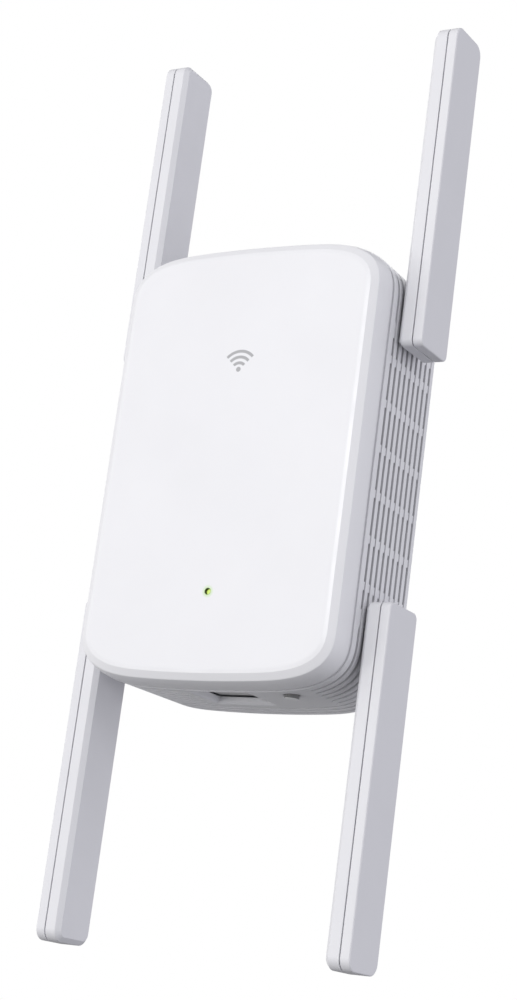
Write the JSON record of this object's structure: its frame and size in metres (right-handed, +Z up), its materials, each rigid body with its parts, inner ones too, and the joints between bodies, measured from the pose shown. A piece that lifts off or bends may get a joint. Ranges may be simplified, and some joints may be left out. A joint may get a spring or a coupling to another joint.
{
  "type": "wifi range extender",
  "caption": "Wall-plug Wi-Fi range extender: a rounded white housing with vented sides, folding paddle antennas at the corners, a LAN jack and a push button underneath.",
  "frame": {"origin": "centre of the plug boss's contact face, midway between the two mains pins, where it meets the wall socket", "axes": "+Y into the wall along the pins, +Z up along the upper antennas, +X to the viewer's right when looking at the front"},
  "size_m": [0.098, 0.0784, 0.2634],
  "materials": {
    "white_plastic": "satin moulded white plastic, very slightly cool",
    "grey_plastic": "satin mid-grey plastic",
    "dark_plastic": "dark insulating plastic",
    "clear_plastic": "clear light-guide plastic, lit green",
    "led_white": "light emitting chip",
    "nickel": "nickel-plated brass, lightly drawn",
    "steel": "zinc-plated steel",
    "aluminium": "extruded, plain",
    "copper": "copper",
    "circuit_board": "green solder mask over glass laminate",
    "black_epoxy": "moulded chip epoxy",
    "ferrite": "sintered ferrite",
    "capacitor_sleeve": "shrink sleeve on a can",
    "cable_jacket": "thin coaxial lead jacket"
  },
  "bodies": {
    "housing": {"front_cover": "white_plastic", "rear_housing": "white_plastic", "lan_jack": "grey_plastic", "pin_sleeve_left": "dark_plastic", "pin_sleeve_right": "dark_plastic", "pin_retainer": "dark_plastic", "board_link": "dark_plastic", "push_switch": "dark_plastic", "fuse": "dark_plastic", "plug_pin_left": "nickel", "plug_pin_right": "nickel", "jack_contacts": "nickel", "contact_lead_left": "copper", "contact_lead_right": "copper", "input_choke": "copper", "main_board": "circuit_board", "power_board": "circuit_board", "processor": "black_epoxy", "memory_chip": "black_epoxy", "lan_magnetics": "black_epoxy", "rectifier": "black_epoxy", "transformer": "ferrite", "input_capacitor": "capacitor_sleeve", "output_capacitor": "capacitor_sleeve", "heat_sink": "aluminium", "radio_shield_upper": "steel", "radio_shield_lower": "steel", "main_board_screw_1": "steel", "main_board_screw_2": "steel", "power_board_screw_1": "steel", "power_board_screw_2": "steel", "housing_screw_lower_left": "steel", "housing_screw_upper_left": "steel", "housing_screw_lower_right": "steel", "housing_screw_upper_right": "steel", "status_led": "led_white", "light_pipe": "clear_plastic", "antenna_lower_left_coax_lead": "cable_jacket", "antenna_upper_left_coax_lead": "cable_jacket", "antenna_lower_right_coax_lead": "cable_jacket", "antenna_upper_right_coax_lead": "cable_jacket"},
    "antenna_lower_left": {"antenna_lower_left_outer_shell": "white_plastic", "antenna_lower_left_inner_shell": "white_plastic", "antenna_lower_left_radiator": "circuit_board", "antenna_lower_left_hinge_clip": "steel"},
    "antenna_upper_left": {"antenna_upper_left_outer_shell": "white_plastic", "antenna_upper_left_inner_shell": "white_plastic", "antenna_upper_left_radiator": "circuit_board", "antenna_upper_left_hinge_clip": "steel"},
    "antenna_lower_right": {"antenna_lower_right_outer_shell": "white_plastic", "antenna_lower_right_inner_shell": "white_plastic", "antenna_lower_right_radiator": "circuit_board", "antenna_lower_right_hinge_clip": "steel"},
    "antenna_upper_right": {"antenna_upper_right_outer_shell": "white_plastic", "antenna_upper_right_inner_shell": "white_plastic", "antenna_upper_right_radiator": "circuit_board", "antenna_upper_right_hinge_clip": "steel"},
    "push_button": {"push_button": "grey_plastic"}
  },
  "joints": [
    {"name": "antenna_lower_left_hinge", "type": "hinge", "parent": "housing", "child": "antenna_lower_left", "pos_m": [-0.0414, -0.0386, -0.0435], "axis": [-1, 0, 0], "range_deg": [0, 90]},
    {"name": "antenna_upper_left_hinge", "type": "hinge", "parent": "housing", "child": "antenna_upper_left", "pos_m": [-0.0414, -0.0386, 0.0435], "axis": [1, 0, 0], "range_deg": [0, 90]},
    {"name": "antenna_lower_right_hinge", "type": "hinge", "parent": "housing", "child": "antenna_lower_right", "pos_m": [0.0414, -0.0386, -0.0435], "axis": [-1, 0, 0], "range_deg": [0, 90]},
    {"name": "antenna_upper_right_hinge", "type": "hinge", "parent": "housing", "child": "antenna_upper_right", "pos_m": [0.0414, -0.0386, 0.0435], "axis": [1, 0, 0], "range_deg": [0, 90]},
    {"name": "button_travel", "type": "slide", "parent": "housing", "child": "push_button", "axis": [0, 0, 1], "range_m": [0, 0.0006], "stiffness_N_per_m": 1200, "springref_m": -0.0004}
  ]
}
